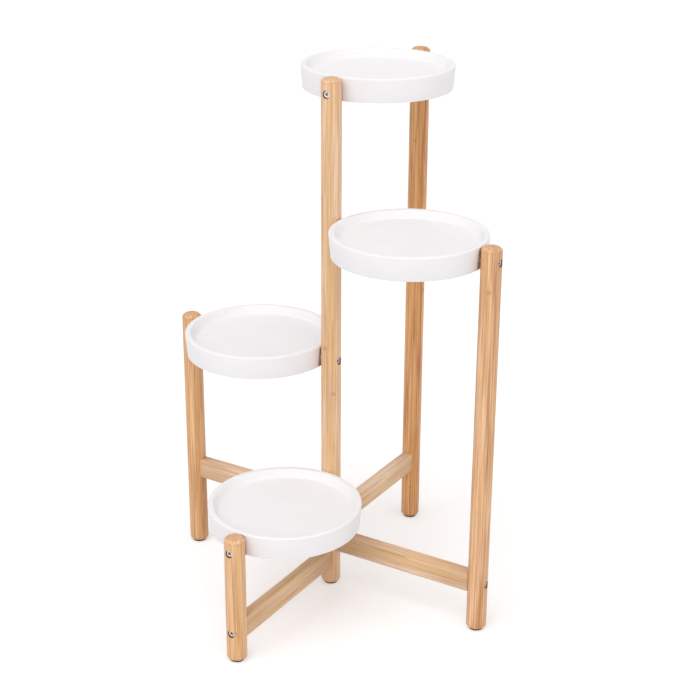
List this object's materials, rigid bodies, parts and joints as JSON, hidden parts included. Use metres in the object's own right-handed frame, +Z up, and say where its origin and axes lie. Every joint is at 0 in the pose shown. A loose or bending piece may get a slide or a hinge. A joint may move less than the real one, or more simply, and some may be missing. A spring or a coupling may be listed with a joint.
{
  "type": "tiered plant stand",
  "caption": "Bamboo plant stand: round trays climb in steps round a shared centre post, each bolted between two posts, with rails that tie the posts near the floor.",
  "frame": {"origin": "on the floor under the middle of the centre post", "axes": "+Z up; the lowest tray lies towards -Y, the second towards -X, the third towards +X and the highest towards +Y"},
  "size_m": [0.5282, 0.5282, 0.78],
  "materials": {
    "bamboo": "laminated bamboo, clear satin lacquer",
    "tray_plastic": "white moulded plastic, soft sheen",
    "bolt_steel": "zinc plated, satin",
    "insert_brass": "plain turned",
    "pad_rubber": "matt dark rubber"
  },
  "bodies": {
    "stand": {"center_post": "bamboo", "foot_pad_center": "pad_rubber", "outer_post_1": "bamboo", "foot_pad_1": "pad_rubber", "rail_1": "bamboo", "tray_bolt_center_1": "bolt_steel", "tray_bolt_outer_1": "bolt_steel", "rail_bolt_center_1": "bolt_steel", "rail_bolt_outer_1": "bolt_steel", "rail_insert_center_1": "insert_brass", "rail_insert_outer_1": "insert_brass", "outer_post_2": "bamboo", "foot_pad_2": "pad_rubber", "rail_2": "bamboo", "tray_bolt_center_2": "bolt_steel", "tray_bolt_outer_2": "bolt_steel", "rail_bolt_center_2": "bolt_steel", "rail_bolt_outer_2": "bolt_steel", "rail_insert_center_2": "insert_brass", "rail_insert_outer_2": "insert_brass", "outer_post_3": "bamboo", "foot_pad_3": "pad_rubber", "rail_3": "bamboo", "tray_bolt_center_3": "bolt_steel", "tray_bolt_outer_3": "bolt_steel", "rail_bolt_center_3": "bolt_steel", "rail_bolt_outer_3": "bolt_steel", "rail_insert_center_3": "insert_brass", "rail_insert_outer_3": "insert_brass", "outer_post_4": "bamboo", "foot_pad_4": "pad_rubber", "rail_4": "bamboo", "tray_bolt_center_4": "bolt_steel", "tray_bolt_outer_4": "bolt_steel", "rail_bolt_center_4": "bolt_steel", "rail_bolt_outer_4": "bolt_steel", "rail_insert_center_4": "insert_brass", "rail_insert_outer_4": "insert_brass"},
    "tilting_tray_1": {"tray_1": "tray_plastic", "tray_insert_center_1": "insert_brass", "tray_insert_outer_1": "insert_brass"},
    "tilting_tray_2": {"tray_2": "tray_plastic", "tray_insert_center_2": "insert_brass", "tray_insert_outer_2": "insert_brass"},
    "tilting_tray_3": {"tray_3": "tray_plastic", "tray_insert_center_3": "insert_brass", "tray_insert_outer_3": "insert_brass"},
    "tilting_tray_4": {"tray_4": "tray_plastic", "tray_insert_center_4": "insert_brass", "tray_insert_outer_4": "insert_brass"}
  },
  "joints": [
    {"name": "tray_1_tilt", "type": "hinge", "parent": "stand", "child": "tilting_tray_1", "pos_m": [0, -0.1248, 0.1742], "axis": [0, -1, 0], "range_deg": [-15, 15]},
    {"name": "tray_2_tilt", "type": "hinge", "parent": "stand", "child": "tilting_tray_2", "pos_m": [-0.1248, 0, 0.3692], "axis": [-1, 0, 0], "range_deg": [-15, 15]},
    {"name": "tray_3_tilt", "type": "hinge", "parent": "stand", "child": "tilting_tray_3", "pos_m": [0.1248, 0, 0.5642], "axis": [1, 0, 0], "range_deg": [-15, 15]},
    {"name": "tray_4_tilt", "type": "hinge", "parent": "stand", "child": "tilting_tray_4", "pos_m": [0, 0.1248, 0.7592], "axis": [0, 1, 0], "range_deg": [-15, 15]}
  ]
}
